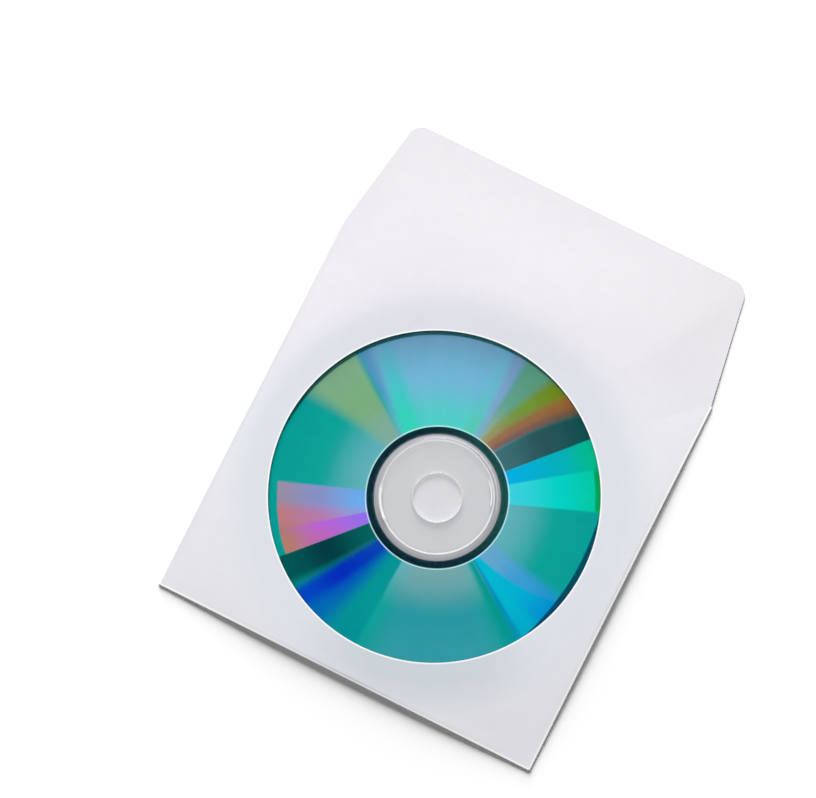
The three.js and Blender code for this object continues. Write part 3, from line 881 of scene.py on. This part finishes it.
class Sheet:
    """A folded sheet as one closed mesh.

    Each corner has a point on the outer side and one on the inner side.
    """

    def __init__(self) -> None:
        """Starts an empty sheet."""
        self.outer: list[Vector] = []
        self.inner: list[Vector] = []
        self.cells: list[tuple[int, ...]] = []

    def corner(self, outer: Vector, inner: Vector) -> int:
        """Adds a corner and returns its number."""
        self.outer.append(outer)
        self.inner.append(inner)
        return len(self.outer) - 1

    def grid(self, rows: Sequence[Sequence[int]], closed: bool = False) -> None:
        """Joins rows of corners with cells, each row to the next.

        Args:
            rows: the rows, so that cells run anticlockwise from outside.
            closed: whether each row meets its own start.
        """
        for lower, upper in zip(rows, rows[1:], strict=False):
            steps = len(lower) if closed else len(lower) - 1
            for i in range(steps):
                j = (i + 1) % len(lower)
                self.cells.append((lower[i], lower[j], upper[j], upper[i]))

    def mesh(self, name: str, crease: float = 40.0) -> bpy.types.Mesh:
        """Closes the sheet at its cut edges.

        Args:
            name: the mesh's name.
            crease: edges that turn by more than this many degrees stay sharp.

        Returns:
            The mesh.
        """
        count = len(self.outer)
        faces: list[tuple[int, ...]] = []
        open_edges: dict[tuple[int, int], None] = {}
        for cell in self.cells:
            faces.append(cell)
            faces.append(tuple(i + count for i in reversed(cell)))
            for a, b in zip(cell, (*cell[1:], cell[0]), strict=True):
                if (b, a) in open_edges:
                    del open_edges[(b, a)]
                else:
                    open_edges[(a, b)] = None
        faces.extend((a, a + count, b + count, b) for a, b in open_edges)
        return new_mesh(name, self.outer + self.inner, faces, crease)


@dataclass
class Envelope:
    """The folded blank: face with the round window, top flap, two seam flaps and back panel.

    Level steps and back rows are fractions of the way across their part, for the rows of the mesh.
    """

    layout: Layout
    paper: float = 0.13 * MM
    glue: float = 0.05 * MM
    window_radius: float = 50.8 * MM
    body_length: float = 123.8 * MM
    fold_height: float = 0.74 * MM
    free_reach: float = 88.5 * MM
    fold_squareness: Span = (0.16, 1.0)
    tip_height: float = 0.33 * MM
    flap_taper: float = 6.8 * MM
    flap_corner: float = 5.0 * MM
    seam_width: float = 17.0 * MM
    seam_top_slope: float = 0.14
    seam_top_radius: float = 4.0 * MM
    seam_mitre_start: float = 8.0 * MM
    seam_mitre_slope: float = 1.16
    seam_lower_radius: float = 5.0 * MM
    back_clearance: float = 0.6 * MM
    throat_drop: float = 1.8 * MM
    throat_crown: float = 5.9 * MM
    cockle_height: float = 0.10 * MM
    cockle_waves: Triple = (28, 34, 3.1)
    cockle_reach: Span = (62 * MM, 74 * MM)
    cockle_side: float = 5 * MM
    cockle_bottom: float = 6 * MM
    cockle_flap: Span = (-6 * MM, 12 * MM)
    cockle_on_flap: float = 0.4
    level_steps: tuple[float, ...] = (0.0, 0.06, 0.5)
    seam_first_row: float = 2.5 * MM
    back_first_row: float = 3.0 * MM
    back_rows: tuple[float, ...] = (0.12, 0.3, 0.5, 0.7, 0.88, 1.0)
    side_steps: int = 90
    end_steps: int = 90
    flap_steps: int = 28
    corner_steps: int = 12
    drape_steps: int = 18
    fold_steps: int = 10
    sheet: Sheet = field(default_factory=Sheet)

    @property
    def body_top(self) -> float:
        """Y where the top flap starts."""
        return self.layout.bottom + self.body_length

    @property
    def bottom_edge(self) -> float:
        """Y where the face ends at the bottom fold's corners."""
        return self.layout.bottom + (self.fold_height - self.back_base) / 2

    @property
    def back_base(self) -> float:
        """Height of the back panel's lower side, on the seam flaps and their glue."""
        return self.paper + self.glue

    @staticmethod
    def ease(t: float) -> float:
        """Easing of the paper's fall from the disc's rim, for t from 0 to 1."""
        return (smoothstep(0, 1, t) + t) / 2

    def from_disc(self, x: float, y: float) -> float:
        """Distance from the disc's axis."""
        return math.hypot(x - self.layout.disc_centre[0], y - self.layout.disc_centre[1])

    def body_height(self, x: float, y: float) -> float:
        """Height of the face's upper side, which falls evenly away from the disc's rim."""
        rim = self.layout.disc_radius
        away = (self.from_disc(x, y) - rim) / (self.free_reach - rim)
        return lerp(self.layout.face_top, self.fold_height, self.ease(min(max(away, 0.0), 1.0)))

    def side_radius(self, y: float) -> float:
        """Outer radius of a side fold's turn at y."""
        return self.body_height(self.layout.half_width, y) / 2

    def bottom_radius(self, x: float) -> float:
        """Outer radius of the bottom fold's turn at x."""
        return (self.body_height(x, self.layout.bottom) - self.back_base) / 2

    def cockle(self, x: float, y: float) -> float:
        """Small wave of the paper, which has no effect at the folds or over the disc."""
        free = smoothstep(*self.cockle_reach, self.from_disc(x, y))
        inside = smoothstep(0, self.cockle_side, self.layout.half_width - abs(x))
        inside *= smoothstep(0, self.cockle_bottom, y - self.layout.bottom)
        low, high = self.cockle_flap
        flap = smoothstep(self.body_top + low, self.body_top + high, y)
        across, along, level = self.cockle_waves
        wave = noise.noise(Vector((x * across, y * along, level)))
        return self.cockle_height * wave * free * max(inside, flap * self.cockle_on_flap)

    def side_point(self, y: float, side: int) -> Vector:
        """Point of the face's edge at y, on the right side for 1 or the left for -1."""
        radius = self.side_radius(y)
        return Vector((side * (self.layout.half_width - radius), y, 2 * radius))

    def outline(self) -> list[Vector]:
        """Points of the face's edge with its height, anticlockwise from the bottom right corner."""
        lay = self.layout
        right, bottom = lay.half_width - self.fold_height / 2, self.bottom_edge
        tip = lay.half_width - self.flap_taper
        steps = range(self.side_steps)
        points = [self.side_point(lerp(bottom, self.body_top, i / self.side_steps), 1) for i in steps]
        flap = self.flap_edge(Vector((right, self.body_top)), Vector((tip, lay.tip)))
        points.extend(flap)
        for i in range(1, self.end_steps):
            x = lerp(flap[-1].x, -flap[-1].x, i / self.end_steps)
            points.append(Vector((x, lay.tip, self.tip_height)))
        points.extend(Vector((-p.x, p.y, p.z)) for p in reversed(flap))
        for i in range(1, self.side_steps + 1):
            points.append(self.side_point(lerp(self.body_top, bottom, i / self.side_steps), -1))
        beside_corner = len(points)
        for i in range(1, self.end_steps):
            x = lerp(-right, right, i / self.end_steps)
            radius = self.bottom_radius(x)
            points.append(Vector((x, lay.bottom + radius, self.back_base + 2 * radius)))
        points[beside_corner].y = bottom
        return points

    def flap_edge(self, root: Vector, corner: Vector) -> list[Vector]:
        """Right edge of the top flap with its round corner.

        Args:
            root: where the edge leaves the side fold.
            corner: the corner before it is rounded.

        Returns:
            Points from the root to the end of the round.
        """
        inward = (root - corner).normalized()
        outward = Vector((-1.0, 0.0))
        half = inward.angle(outward) / 2
        centre = corner + (inward + outward).normalized() * (self.flap_corner / math.sin(half))
        start = corner + inward * (self.flap_corner / math.tan(half))
        first = math.atan2(start.y - centre.y, start.x - centre.x)
        turn = math.pi - 2 * half
        flat = [root.lerp(start, i / self.flap_steps) for i in range(self.flap_steps)]
        for i in range(self.corner_steps + 1):
            angle = first + turn * i / self.corner_steps
            flat.append(centre + Vector((math.cos(angle), math.sin(angle))) * self.flap_corner)
        return [Vector((p.x, p.y, self.flap_height(p.y))) for p in flat]

    def flap_height(self, y: float) -> float:
        """Height of the top flap's upper side at its edge."""
        up = (y - self.body_top) / (self.layout.tip - self.body_top)
        return lerp(self.fold_height, self.tip_height, up)

    def add_face(self, outline: Sequence[Vector]) -> list[int]:
        """Adds the face and top flap as rings from the window's edge to the outline.

        Args:
            outline: points of the face's edge.

        Returns:
            The outline's corners.
        """
        lay = self.layout
        disc, window = Vector(lay.disc_centre), Vector(lay.window_centre)
        rings: list[list[int]] = [[] for _ in range(len(self.level_steps) + self.drape_steps + 1)]
        for point in outline:
            ray = (point.xy - disc).normalized()
            hole = window + ray * self.window_radius
            rim = disc + ray * lay.disc_radius
            places = [(hole.lerp(rim, t), lay.face_top) for t in self.level_steps]
            for i in range(self.drape_steps + 1):
                t = i / self.drape_steps
                at = rim.lerp(point.xy, t)
                falls = point.y > self.body_top or i == self.drape_steps
                top = lerp(lay.face_top, point.z, self.ease(t)) if falls else self.body_height(*at)
                places.append((at, top + self.cockle(*at)))
            for ring, (at, top) in zip(rings, places, strict=True):
                ring.append(self.sheet.corner(Vector((*at, top)), Vector((*at, top - self.paper))))
        self.sheet.grid(rings[::-1], closed=True)
        return rings[-1]

    def add_turn(
        self,
        edge: Sequence[int],
        turns: Sequence[Turn],
    ) -> list[list[int]]:
        """Adds a fold's turn.

        Args:
            edge: the face's corners along the fold.
            turns: for each corner the turn's outer radius, its lowest height, and what places an outward
                and an upward offset in space.

        Returns:
            Rows of corners, from the face's edge to the end of the turn.
        """
        rows = [list(edge)]
        for step in range(1, self.fold_steps + 1):
            angle = math.pi * step / self.fold_steps
            square = self.fold_squareness[0 if 2 * step < self.fold_steps else 1]
            out = math.sin(angle) ** square if step < self.fold_steps else 0.0
            up = math.copysign(abs(math.cos(angle)) ** square, math.cos(angle))
            row = []
            for radius, base, place in turns:
                points = [place(r * out, base + radius + r * up) for r in (radius, radius - self.paper)]
                row.append(self.sheet.corner(*points))
            rows.append(row)
        return rows

    def seam_span(self, inward: float) -> Place:
        """Lowest and highest Y of a seam flap at a distance from the sleeve's side."""

        def rounding(past: float, radius: float) -> float:
            """Depth of a round corner at a distance past its start."""
            x = min(max(past, 0.0), radius)
            return radius - math.sqrt(radius * radius - x * x)

        mitre = max(0.0, (inward - self.seam_mitre_start) * self.seam_mitre_slope)
        lower = rounding(inward - (self.seam_width - self.seam_lower_radius), self.seam_lower_radius)
        upper = rounding(inward - (self.seam_width - self.seam_top_radius), self.seam_top_radius)
        return self.bottom_edge + mitre + lower, self.body_top - inward * self.seam_top_slope - upper

    def add_seam_flap(
        self, ring: Sequence[int], outline: Sequence[Vector], stretch: Sequence[int], side: int
    ) -> None:
        """Adds a side fold and its seam flap.

        Args:
            ring: the outline's corners.
            outline: points of the face's edge.
            stretch: the outline's places along the fold, from the bottom up.
            side: 1 for the right side, -1 for the left.
        """
        edge = [ring[i] for i in stretch]
        heights = [outline[i].y for i in stretch]

        def turn(y: float) -> Turn:
            """Turn of the side fold at y."""
            radius = self.side_radius(y)
            centre = self.layout.half_width - radius
            return radius, 0.0, lambda out, up: Vector((side * (centre + out), y, up))

        rows = self.add_turn(edge, [turn(y) for y in heights])
        largest = max(self.seam_lower_radius, self.seam_top_radius)
        straight = self.seam_width - largest
        reaches = [lerp(self.seam_first_row, self.seam_mitre_start, i / 4) for i in range(5)]
        reaches += [lerp(self.seam_mitre_start, straight, i / 3) for i in (1, 2)]
        sines = [math.sin(math.pi / 2 * i / self.corner_steps) for i in range(self.corner_steps + 1)]
        reaches += [straight + largest * sine for sine in sines]
        for inward in reaches:
            low, high = self.seam_span(inward)
            row = []
            for y in heights:
                at = lerp(low, high, (y - heights[0]) / (heights[-1] - heights[0]))
                x = side * (self.layout.half_width - inward)
                row.append(self.sheet.corner(Vector((x, at, 0.0)), Vector((x, at, self.paper))))
            rows.append(row)
        self.sheet.grid(rows[::-1] if side > 0 else rows)

    def add_back(self, ring: Sequence[int], outline: Sequence[Vector], stretch: Sequence[int]) -> None:
        """Adds the bottom fold and the back panel.

        Args:
            ring: the outline's corners.
            outline: points of the face's edge.
            stretch: the outline's places along the fold, from left to right.
        """
        lay = self.layout
        edge = [ring[i] for i in stretch]
        spread = [outline[i].x for i in stretch]

        def turn(x: float) -> Turn:
            """Turn of the bottom fold at x."""
            radius = self.bottom_radius(x)
            return radius, self.back_base, lambda out, up: Vector((x, lay.bottom + radius - out, up))

        rows = self.add_turn(edge, [turn(x) for x in spread])
        half = spread[-1]
        narrow = 1 - self.back_clearance / half
        for up in (self.back_first_row / self.body_length, *self.back_rows):
            row = []
            for wide in spread:
                x = wide * narrow
                throat = self.body_top - self.throat_drop - self.throat_crown * (x / (half * narrow)) ** 2
                y = lerp(self.bottom_edge, throat, up)
                base = self.back_base
                row.append(self.sheet.corner(Vector((x, y, base)), Vector((x, y, base + self.paper))))
            rows.append(row)
        self.sheet.grid(rows[::-1])

    def build(self, finish: PaperFinish) -> bpy.types.Object:
        """Builds the envelope and dresses it."""
        outline = self.outline()
        count = len(outline)
        ring = self.add_face(outline)
        left_start = count - self.end_steps - self.side_steps
        right = list(range(self.side_steps + 1))
        left = [left_start + i for i in range(self.side_steps + 1)][::-1]
        bottom = [(count - self.end_steps + i) % count for i in range(self.end_steps + 1)]
        self.add_seam_flap(ring, outline, right, 1)
        self.add_seam_flap(ring, outline, left, -1)
        self.add_back(ring, outline, bottom)
        mesh = self.sheet.mesh("paper_envelope")
        material = finish.material(self.layout, self.window_radius)
        return add_piece("paper_envelope", mesh, material, Slot.PAPER, "envelope")


@dataclass
class Disc:
    """The clear moulded disc: hub with its stacking ring and moulded steps, and the rim.

    Radii of steps run inwards, as the section does.
    """

    layout: Layout
    thickness: float = 1.2 * MM
    hole: float = 7.5 * MM
    chamfer: float = 0.12 * MM
    lift: float = 0.02 * MM
    groove_depth: float = 0.05 * MM
    groove_outer: Span = (19.3 * MM, 19.2 * MM)
    groove_inner: Span = (18.65 * MM, 18.5 * MM)
    ring_shoulder: float = 0.09 * MM
    ring_outer: tuple[float, float, float] = (18.15 * MM, 18.0 * MM, 17.8 * MM)
    ring_inner: tuple[float, float, float] = (17.4 * MM, 17.2 * MM, 17.05 * MM)
    hub_drop: float = 0.04 * MM
    hub_step: Span = (8.05 * MM, 7.95 * MM)
    steps: int = 256
    crease: float = 50.0

    def section(self) -> list[Place]:
        """Radius and height of the turned section, from the hole's lower edge round to its start."""
        top, outer, inner = self.thickness, self.layout.disc_radius, self.hole + self.chamfer
        crown, shoulder = self.layout.disc_top - self.layout.disc_base, top + self.ring_shoulder
        floor, hub = top - self.groove_depth, top - self.hub_drop
        radii = [inner, outer - self.chamfer, outer, outer, outer - self.chamfer]
        heights = [self.lift, self.lift, self.chamfer, top - self.chamfer, top]
        radii += [*self.groove_outer, *self.groove_inner, *self.ring_outer, *self.ring_inner]
        heights += [top, floor, floor, top, top, shoulder, crown, crown, shoulder, top]
        radii += [*self.hub_step, inner, self.hole, self.hole]
        heights += [top, hub, hub, top - self.chamfer, self.chamfer]
        return list(zip(radii, heights, strict=True))

    def build(self, finish: DiscFinish) -> bpy.types.Object:
        """Turns the section about the disc's axis and dresses it."""
        cx, cy = self.layout.disc_centre
        section = self.section()
        points = []
        for i in range(self.steps):
            turn = Matrix.Rotation(2 * math.pi * i / self.steps, 2)
            for radius, height in section:
                flat = turn @ Vector((radius, 0.0))
                points.append((cx + flat.x, cy + flat.y, self.layout.disc_base + height))
        count = len(section)
        faces = []
        for i in range(self.steps):
            a, b = i * count, ((i + 1) % self.steps) * count
            for j in range(count):
                k = (j + 1) % count
                faces.append((a + j, b + j, b + k, a + k))
        mesh = new_mesh("clear_disc", points, faces, self.crease)
        return add_piece("clear_disc", mesh, finish.material(self.layout), Slot.DISC, "disc")


@dataclass(frozen=True)
class Camera:
    """The view that the picture has."""

    lens: float = 300.0
    sensor: float = 36.0
    nearest: float = 0.01
    location: Triple = (185.54 * MM, -117.56 * MM, 2063.15 * MM)
    aim: Triple = (-20.76 * MM, 3.83 * MM, 0.0)
    up: Triple = (-0.444, 0.8908, 0.0968)

    def build(self) -> None:
        """Adds the camera."""
        data = bpy.data.cameras.new("camera")
        data.lens = self.lens
        data.sensor_width = self.sensor
        data.clip_start = self.nearest
        camera = bpy.data.objects.new("camera", data)
        back = (Vector(self.location) - Vector(self.aim)).normalized()
        right = Vector(self.up).cross(back).normalized()
        upward = back.cross(right)
        turn = Matrix((right, upward, back)).transposed().to_4x4()
        camera.matrix_world = Matrix.Translation(self.location) @ turn
        bpy.context.scene.collection.objects.link(camera)
        bpy.context.scene.camera = camera


@dataclass(frozen=True)
class Studio:
    """White table and surroundings with one soft light from the far left."""

    light_direction: Place = (-0.5, 0.866)
    light_distance: float = 5.5
    light_elevation: float = 24.0
    light_size: Place = (2.7, 3.7)
    light_power: float = 678.0
    world_strength: float = 0.17
    near_whiteness: float = 1.03
    far_whiteness: float = 1.4
    white_span: Span = (0.085, 0.26)
    table_half: float = 6.0
    table_gap: float = 0.02 * MM

    @staticmethod
    def seen(nodes: Nodes) -> Socket:
        """1 for the rays that see the surroundings: from the camera, in gloss or through something clear."""
        camera = nodes.node("ShaderNodeLightPath", output="Is Camera Ray")
        gloss, clear = camera.sibling("Is Glossy Ray"), camera.sibling("Is Transmission Ray")
        return nodes.math("MAXIMUM", nodes.math("MAXIMUM", camera, gloss), clear)

    def table(self) -> None:
        """Adds the table."""
        nodes = Nodes(bpy.data.materials.new("table"))
        away, _ = nodes.polar((0.0, 0.0))
        white = away.rise(*self.white_span) * (self.far_whiteness - self.near_whiteness) + self.near_whiteness
        colour = nodes.grey(self.seen(nodes) * (white - 1) + 1)
        material = nodes.finish(nodes.node("ShaderNodeBsdfDiffuse", None, {"Color": colour}))
        half, height = self.table_half, -self.table_gap
        corners = [(-half, -half, height), (half, -half, height), (half, half, height), (-half, half, height)]
        mesh = bpy.data.meshes.new("table")
        mesh.from_pydata(corners, [], [(0, 1, 2, 3)])
        mesh.materials.append(material)
        table = bpy.data.objects.new("table", mesh)
        bpy.context.scene.collection.objects.link(table)

    def surroundings(self) -> None:
        """Sets the world: white where it is seen, dimmer as light."""
        world = bpy.data.worlds.new("surroundings")
        nodes = Nodes(world)
        strength = self.seen(nodes) * (1 - self.world_strength) + self.world_strength
        inputs = {"Color": (1.0, 1.0, 1.0), "Strength": strength}
        background = nodes.node("ShaderNodeBackground", None, inputs)
        nodes.node("ShaderNodeOutputWorld", None, {"Surface": background})
        bpy.context.scene.world = world

    def light(self) -> None:
        """Adds the soft light."""
        data = bpy.data.lights.new("softbox", "AREA")
        data.shape = "RECTANGLE"
        data.size, data.size_y = self.light_size
        data.energy = self.light_power
        softbox = bpy.data.objects.new("softbox", data)
        level = math.cos(math.radians(self.light_elevation))
        height = math.sin(math.radians(self.light_elevation))
        towards = Vector((*(Vector(self.light_direction).normalized() * level), height))
        softbox.location = towards * self.light_distance
        softbox.rotation_euler = towards.to_track_quat("Z", "Y").to_euler()
        bpy.context.scene.collection.objects.link(softbox)

    def build(self) -> None:
        """Sets up the table, the surroundings and the light."""
        self.table()
        self.surroundings()
        self.light()
        bpy.context.scene.view_settings.view_transform = "Standard"


def main() -> None:
    """Builds the sleeve and its studio."""
    logging.basicConfig(level=logging.INFO, format="%(name)s: %(message)s")
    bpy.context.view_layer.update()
    Camera().build()
    Studio().build()
    layout = Layout.from_frame()
    envelope = Envelope(layout)
    envelope.build(PaperFinish())
    Disc(layout).build(DiscFinish())
    dress("recording_layer", LayerFinish().material(layout, envelope.window_radius))
    dress("window_film", FilmFinish().material())
    glue = GlueFinish(Slot.GLUE, srgb(228, 225, 214), 0.4, 0.75).material()
    for node in ("window_glue", "seam_glue_left", "seam_glue_right"):
        dress(node, glue)
    dress("flap_adhesive", GlueFinish(Slot.TACKY, srgb(226, 214, 178), 0.2, 0.8).material())
    dress("release_liner", LinerFinish().material(layout))


if __name__ == "__main__":
    main()
